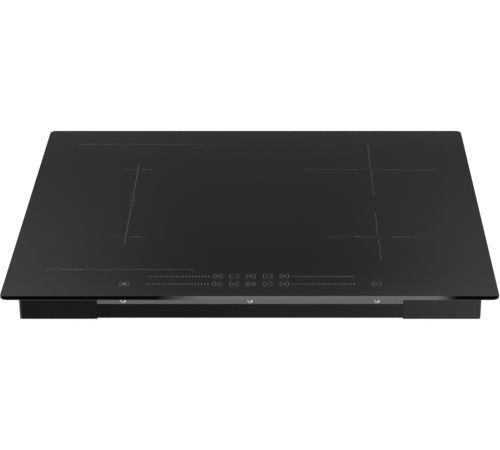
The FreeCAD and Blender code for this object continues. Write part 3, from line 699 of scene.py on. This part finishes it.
# bare metal frame that carries the glass
def rolledZinc(place):
    patch = patches(place, 0.006)
    drawn = noise(place, 0.0009, 2.0, (0.03, 1, 1))
    return {
        "Base Color": tint(patch * 0.6 + drawn * 0.4, (0.235, 0.255, 0.272), (0.285, 0.305, 0.322)),
        "Metallic": 1.0,
        "Roughness": patch * 0.08 + drawn * 0.1 + 0.46,
        "Normal": relief(drawn, 0.12, 0.0001),
    }


paint(finish("rolled_zinc", rolledZinc), "glass_support_frame")


# pan-head screws with a cross recess, where the CAD has its screws
screw = {
    "head": 3.8, "height": 2.0, "shank": 1.5, "edge": 0.08, "point": 0.85, "sides": 32,
    "crown": (
        (0, 1), (0.35, 0.985), (0.62, 0.93), (0.8, 0.82), (0.92, 0.64), (0.985, 0.4), (1, 0.2),
    ),
    "recess": 1.9, "slot": 0.9, "depth": 1.1, "taper": (0.35, 0.6), "over": 0.3,
}


def screwShape(length):
    shape = bmesh.new()
    r, h, shank, edge = screw["head"], screw["height"], screw["shank"], screw["edge"]
    profile = [(r * across, h * up) for across, up in screw["crown"]]
    profile += [(r, edge), (r - edge, 0), (shank, 0)]
    profile += [(shank, -length * screw["point"]), (0, -length)]
    lathe(shape, profile, screw["sides"])
    head = fromBmesh("screw_shape", shape)
    cross = bmesh.new()
    long, short = screw["recess"], screw["slot"] / 2
    floorHalf = (long * screw["taper"][0], short * screw["taper"][1])
    for turned in (False, True):
        ends = []
        for half, z in ((floorHalf, h - screw["depth"]), ((long, short), h + screw["over"])):
            x, y = half[::-1] if turned else half
            ends.append([
                cross.verts.new((i * x * mm, j * y * mm, z * mm))
                for i, j in ((-1, -1), (1, -1), (1, 1), (-1, 1))
            ])
        bottom, top = ends
        cross.faces.new(bottom)
        cross.faces.new(top)
        for k in range(4):
            cross.faces.new((bottom[k], bottom[(k + 1) % 4], top[(k + 1) % 4], top[k]))
    cutter = fromBmesh("recess_shape", cross)
    carve = head.modifiers.new("carve", "BOOLEAN")
    carve.operation, carve.solver = "DIFFERENCE", "EXACT"
    carve.object, carve.use_self = cutter, True
    graph = bpy.context.evaluated_depsgraph_get()
    cut = bpy.data.meshes.new_from_object(head.evaluated_get(graph), depsgraph=graph)
    head.modifiers.remove(carve)
    head.data = cut
    drop(cutter)
    smooth(head, 40)
    return head


def plating(place):
    wear = noise(place, 0.0012, 3.0)
    return {
        "Base Color": tint(wear, (0.66, 0.67, 0.69), (0.78, 0.79, 0.80)),
        "Metallic": 1.0,
        "Roughness": wear * 0.14 + 0.14,
        "Normal": relief(noise(place, 0.0004), 0.06, 0.00005),
    }


zincPlate = finish("zinc_plate", plating)
screwPoints, screwAims, shankLength = [], [], 0
for solidLow, solidHigh in islands("frame_screws"):
    seat, size = (solidLow + solidHigh) / 2, solidHigh - solidLow
    axis = min(range(3), key=lambda k: size[k])  # the head is wider than the screw is long
    outward = 1 if seat[axis] > 0 else -1
    aim = Vector((0, 0, 0))
    aim[axis] = outward
    headTop = solidHigh[axis] if outward > 0 else solidLow[axis]
    seat[axis] = headTop - outward * screw["height"] * mm
    shankLength = max(shankLength, size[axis] / mm - screw["height"])
    screwPoints.append(seat)
    screwAims.append(aim)
screwTemplate = screwShape(shankLength)
frameScrews = spread("frame_screw_set", screwTemplate, screwPoints, screwAims, zincPlate)
drop(screwTemplate)
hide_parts("frame_screws")
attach(frameScrews, "housing")
print("frame screws in place:", len(screwPoints))


# outside of the case
def powderCoat(place):
    peel = noise(place, 0.0011, 1.0)
    wide = noise(place, 0.05, 3.0)
    return {
        "Base Color": tint(wide, (0.0055, 0.0054, 0.0056), (0.0085, 0.0083, 0.0085)),
        "Roughness": peel * 0.06 + wide * 0.04 + 0.14,
        "Specular IOR Level": 0.4,
        "Normal": relief(peel, 0.22, 0.00012),
    }


def mouldedPlastic(dark, grain, rough):
    def recipe(place):
        skin = cells(place, grain)
        wide = noise(place, 0.03, 2.0)
        return {
            "Base Color": tint(wide, (dark * 0.85,) * 3, (dark * 1.2,) * 3),
            "Roughness": skin * 0.08 + wide * 0.08 + rough,
            "Normal": relief(skin, 0.25, grain * 0.15),
        }

    return recipe


def foam(place):
    pores = cells(place, 0.0007)
    return {
        "Base Color": tint(pores, (0.006, 0.006, 0.006), (0.022, 0.022, 0.022)),
        "Roughness": pores * 0.1 + 0.85,
        "Normal": relief(pores, 0.6, 0.0003),
    }


def siliconeBead(place):
    dull = noise(place, 0.004)
    return {
        "Base Color": tint(dull, (0.016, 0.016, 0.017), (0.024, 0.024, 0.025)),
        "Roughness": dull * 0.15 + 0.4,
        "Normal": relief(dull, 0.2, 0.0002),
    }


paint(finish("powder_coat", powderCoat), "bottom_tray")
paint(
    finish("moulded_cover", mouldedPlastic(0.007, 0.0005, 0.10)),
    "front_left_corner_cover", "front_right_corner_cover", "terminal_lid",
)
paint(finish("foam_strip", foam), "worktop_seal", "touch_pads")
paint(finish("silicone_bead", siliconeBead), "glass_adhesive")
paint(finish("bush_rubber_skin", mouldedPlastic(0.012, 0.0003, 0.68)), "cable_inlet_bush")
print("case finished")


# inside of the case
def aluminium(place):
    drawn = noise(place, 0.0007, 2.0, (0.04, 1, 1))
    return {
        "Base Color": tint(drawn, (0.62, 0.63, 0.64), (0.76, 0.765, 0.77)),
        "Metallic": 1.0,
        "Roughness": drawn * 0.16 + 0.26,
        "Normal": relief(drawn, 0.1, 0.0001),
    }


def circuitBoard(place):
    drawn = place.make("ShaderNodeMapping", None, {"Vector": place, "Scale": (1, 0.25, 1)})
    paths = cells(drawn, 0.006, "DISTANCE_TO_EDGE")
    copper = 1 - span(paths, 0.05, 0.09)
    pads = 1 - span(cells(place, 0.005), 0.14, 0.17)
    mask = tint(copper, (0.006, 0.10, 0.035), (0.012, 0.17, 0.06))
    return {
        "Base Color": pads.make(
            "ShaderNodeMix", {"data_type": "RGBA"},
            {"Factor_Float": pads, "A_Color": mask, "B_Color": (0.62, 0.62, 0.60, 1)},
            "Result_Color",
        ),
        "Metallic": pads * 0.9,
        "Roughness": 0.42 - pads * 0.12,
        "Normal": relief(copper + pads, 0.3, 0.00008),
    }


def ferriteBody(place):
    grit = noise(place, 0.0005, 3.0)
    return {
        "Base Color": tint(grit, (0.018, 0.017, 0.017), (0.05, 0.048, 0.046)),
        "Roughness": grit * 0.2 + 0.62,
        "Normal": relief(grit, 0.3, 0.0001),
    }


def micaSheet(place):
    shade = patches(place, 0.004)
    return {
        "Base Color": tint(shade, (0.42, 0.36, 0.27), (0.62, 0.56, 0.45)),
        "Roughness": shade * 0.3 + 0.3,
        "Metallic": shade * 0.25,
    }


def castCase(low, high, rough):
    def recipe(place):
        haze = noise(place, 0.006, 3.0)
        return {
            "Base Color": tint(haze, low, high),
            "Roughness": haze * 0.15 + rough,
            "Normal": relief(noise(place, 0.0006), 0.15, 0.0001),
        }

    return recipe


def turnedSteel(low, high, rough):
    def recipe(place):
        lines = noise(place, 0.0006, 2.0, (1, 1, 0.1))
        return {
            "Base Color": tint(lines, low, high),
            "Metallic": 1.0,
            "Roughness": lines * 0.15 + rough,
            "Normal": relief(lines, 0.1, 0.00005),
        }

    return recipe


def woundCopper(place):
    wave = place.make(
        "ShaderNodeTexWave", {"bands_direction": "DIAGONAL"},
        {"Vector": place, "Scale": 260.0, "Distortion": 1.0},
    )
    turns = wave.take("Fac")
    return {
        # painted shade: the base colour is darker in the grooves between the turns, where the bands
        # make the bump low
        "Base Color": tint(turns, (0.20, 0.055, 0.02), (0.62, 0.26, 0.09)),
        "Metallic": 0.75,
        "Roughness": 0.5 - turns * 0.2,
        "Normal": relief(turns, 0.6, 0.0003),
    }


def flatCable(place):
    across, corePitch = axes(place)[0], 1.27 * mm
    cores = across.maths("SINE", across * (2 * math.pi / corePitch))
    return {
        # painted shade: the grey is darker in the grooves between the cores, where the bump is low
        "Base Color": tint(cores * 0.5 + 0.5, (0.30, 0.31, 0.33), (0.52, 0.53, 0.55)),
        "Roughness": cores * 0.05 + 0.45,
        "Normal": relief(cores, 0.4, 0.0002),
    }


def wireSkin(place):
    dull = noise(place, 0.003)
    choice = span(patches(place, 0.09), 0.45, 0.55)  # red in one place, dark in another
    return {
        "Base Color": tint(choice, (0.33, 0.02, 0.015), (0.05, 0.055, 0.06)),
        "Roughness": dull * 0.2 + 0.35,
    }


cornerNames = [f"{end}_{side}" for side in ("left", "right") for end in ("rear", "front")]
inner = {
    "aluminium_sheet": (aluminium, ["coil_carrier_plate", "left_heat_sink", "right_heat_sink"]),
    "green_board": (
        circuitBoard, ["left_power_board", "right_power_board", "filter_board", "touch_board"],
    ),
    "ferrite_body": (ferriteBody, [c + "_coil_ferrites" for c in cornerNames]),
    "mica_sheet_finish": (micaSheet, [c + "_coil_mica" for c in cornerNames]),
    "former_plastic_finish": (
        mouldedPlastic(0.05, 0.0006, 0.5), [c + "_coil_former" for c in cornerNames],
    ),
    "fan_plastic": (
        mouldedPlastic(0.02, 0.0004, 0.4),
        ["left_fan_housing", "right_fan_housing", "left_fan_impeller", "right_fan_impeller"],
    ),
    "motor_steel": (turnedSteel((0.20, 0.20, 0.21), (0.32, 0.32, 0.33), 0.35), ["fan_motors"]),
    "post_steel": (
        turnedSteel((0.55, 0.56, 0.57), (0.72, 0.73, 0.74), 0.22),
        ["carrier_posts", "board_posts", "inner_screws", "terminal_screws"],
    ),
    "transistor_epoxy": (
        castCase((0.012, 0.012, 0.013), (0.024, 0.024, 0.025), 0.45), ["power_transistors"],
    ),
    "capacitor_yellow": (
        castCase((0.55, 0.33, 0.03), (0.68, 0.43, 0.05), 0.3), ["film_capacitors"],
    ),
    "pale_moulding": (
        castCase((0.62, 0.61, 0.57), (0.72, 0.71, 0.67), 0.4),
        ["terminal_block", "touch_board_carrier"],
    ),
    "choke_copper": (woundCopper, ["line_chokes"]),
    "flat_cable": (flatCable, ["touch_ribbon_cable"]),
    "wire_skin_finish": (wireSkin, ["inner_wiring"]),
    "sensor_metal": (
        turnedSteel((0.45, 0.45, 0.44), (0.60, 0.60, 0.58), 0.3),
        [c + "_sensor" for c in cornerNames],
    ),
}
for name, (recipe, users) in inner.items():
    paint(finish(name, recipe), *users)
print("inner parts finished")


# round wire along a spiral, for the windings and the springs
def spiralPath(entry, start, end):
    return entry.make(
        "GeometryNodeCurveSpiral", None,
        {
            "Resolution": entry.take("Steps"), "Rotations": entry.take("Turns"),
            "Start Radius": entry.take(start), "End Radius": entry.take(end), "Height": 0.0,
        },
    )


def wireSection(entry):
    return entry.make(
        "GeometryNodeCurvePrimitiveCircle", {"mode": "RADIUS"},
        {"Resolution": entry.take("Sides"), "Radius": entry.take("Wire")},
    )


def sweep(path, section):
    tube = path.make(
        "GeometryNodeCurveToMesh", None,
        {"Curve": path, "Profile Curve": section, "Fill Caps": True},
    )
    return tube.make("GeometryNodeSetShadeSmooth", None, {"Geometry": tube})


def store(shape, name, value):
    return shape.make(
        "GeometryNodeStoreNamedAttribute", {"data_type": "FLOAT", "domain": "POINT"},
        {"Geometry": shape, "Name": name, "Value": value},
    )


# flat spiral windings of twisted enamelled strands
winding = {"gap": 0.15 * mm, "Steps": 72, "Sides": 8, "strandPitch": 2.6 * mm, "strands": 3}


def spiralTree():
    tree, entry = newTree(
        "winding",
        {
            "Turns": "Float", "Inner": "Float", "Outer": "Float", "Wire": "Float", "Steps": "Int",
            "Sides": "Int", "Centre": "Vector", "Material": "Material",
        },
    )
    reach = entry.make("GeometryNodeSplineParameter", out="Length")
    turn = entry.make("GeometryNodeSplineParameter", out="Factor")
    path = store(spiralPath(entry, "Inner", "Outer"), "along", reach)
    section = store(wireSection(entry), "round", turn)
    moved = entry.make(
        "GeometryNodeTransform", None,
        {"Geometry": sweep(path, section), "Translation": entry.take("Centre")},
    )
    return closeTree(tree, moved, entry.take("Material"))


def litz(place):
    along = place.make("ShaderNodeAttribute", {"attribute_name": "along"}, out="Fac")
    around = place.make("ShaderNodeAttribute", {"attribute_name": "round"}, out="Fac")
    phase = along / winding["strandPitch"] + around * winding["strands"]
    strand = place.maths("SINE", phase * (2 * math.pi)) * 0.5 + 0.5
    dull = noise(place, 0.005)
    return {
        # painted shade: the copper is darker in the grooves between the strands, mixed with a
        # random dull tone
        "Base Color": tint(strand * 0.7 + dull * 0.3, (0.16, 0.045, 0.016), (0.60, 0.25, 0.09)),
        "Metallic": 0.8,
        "Roughness": 0.5 - strand * 0.18,
        "Normal": relief(strand, 0.7, 0.0003),
    }


litzCopper = finish("litz_copper", litz)
spiral = spiralTree()
for corner in cornerNames:
    node = corner + "_coil_winding"
    boxLow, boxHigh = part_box(node)
    middle = (boxLow + boxHigh) / 2
    wireRadius = (boxHigh.z - boxLow.z) / 2
    outerRadius = (boxHigh.x - boxLow.x) / 2
    rim = [v.co.xy - middle.xy for v in nodes[node].data.vertices]
    innerRadius = min(r.length for r in rim)
    pitch = 2 * wireRadius + winding["gap"]
    values = {
        "Inner": innerRadius + wireRadius, "Outer": outerRadius - wireRadius, "Wire": wireRadius,
        "Turns": (outerRadius - innerRadius - 2 * wireRadius) / pitch,
        "Steps": winding["Steps"], "Sides": winding["Sides"], "Centre": middle,
        "Material": litzCopper,
    }
    coil = grow(corner + "_litz", bpy.data.meshes.new(node), spiral, values)
    print(corner, "winding turns", round(values["Turns"], 1), "faces", len(coil.data.polygons))
    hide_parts(node)
    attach(coil, corner + "_coil")
print("windings wound")

# compression springs; flat is the share of a closed end turn
coilSpring = {
    "wire": 0.5 * mm, "turns": 3.0, "flat": 0.16, "travel": 3 * mm, "Steps": 96, "Sides": 8,
}
sensorSpring = {
    "wire": 0.3 * mm, "turns": 4.0, "flat": 0.12, "travel": 2 * mm, "Steps": 120, "Sides": 8,
}


def springTree():
    tree, entry = newTree(
        "spring",
        {
            "Turns": "Float", "Flat": "Float", "Radius": "Float", "Height": "Float",
            "Wire": "Float", "Steps": "Int", "Sides": "Int", "Material": "Material",
        },
    )
    path = spiralPath(entry, "Radius", "Radius")
    share = entry.make("GeometryNodeSplineParameter", out="Factor")
    flat = entry.take("Flat")
    climb = entry.make(
        "ShaderNodeMapRange", {"interpolation_type": "LINEAR"},
        {
            "Value": share, "From Min": flat, "From Max": 1 - flat,
            "To Min": 0.0, "To Max": entry.take("Height"),
        },
    )
    lift = entry.make("ShaderNodeCombineXYZ", None, {"Z": climb})
    raised = entry.make("GeometryNodeSetPosition", None, {"Geometry": path, "Offset": lift})
    spring = sweep(raised, wireSection(entry))
    places = entry.make("GeometryNodeInstanceOnPoints", None, {"Points": entry, "Instance": spring})
    return closeTree(tree, places, entry.take("Material"))


springWire = finish("spring_wire_finish", turnedSteel((0.30, 0.30, 0.31), (0.46, 0.46, 0.47), 0.25))
springs = springTree()


def coilUp(name, boxes, kind, node, body):
    springLow, springHigh = boxes[0]
    height, wire = springHigh.z - springLow.z, kind["wire"]
    seats = [((low.x + high.x) / 2, (low.y + high.y) / 2, low.z + wire) for low, high in boxes]
    values = {
        "Turns": kind["turns"] + 1, "Flat": kind["flat"], "Wire": wire, "Height": height - 2 * wire,
        "Radius": (springHigh.x - springLow.x) / 2 - wire,
        "Steps": kind["Steps"], "Sides": kind["Sides"], "Material": springWire,
    }
    piece = grow(name, pointMesh(name + "_seats", seats), springs, values)
    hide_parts(node)
    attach(piece, body)
    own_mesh(piece)


allSprings = islands("coil_springs")
for corner in cornerNames:
    coilLow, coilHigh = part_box(corner + "_coil_former")
    own = [
        box for box in allSprings
        if coilLow.x < box[0].x < coilHigh.x and coilLow.y < box[0].y < coilHigh.y
    ]
    coilUp(
        corner + "_spring_set", own, coilSpring,
        "coil_springs", "housing",
    )
    coilUp(
        corner + "_sensor_spring_wire", [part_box(corner + "_sensor_spring")], sensorSpring,
        corner + "_sensor_spring", corner + "_coil",
    )
    print(corner, "springs", len(own))
print("springs wound")
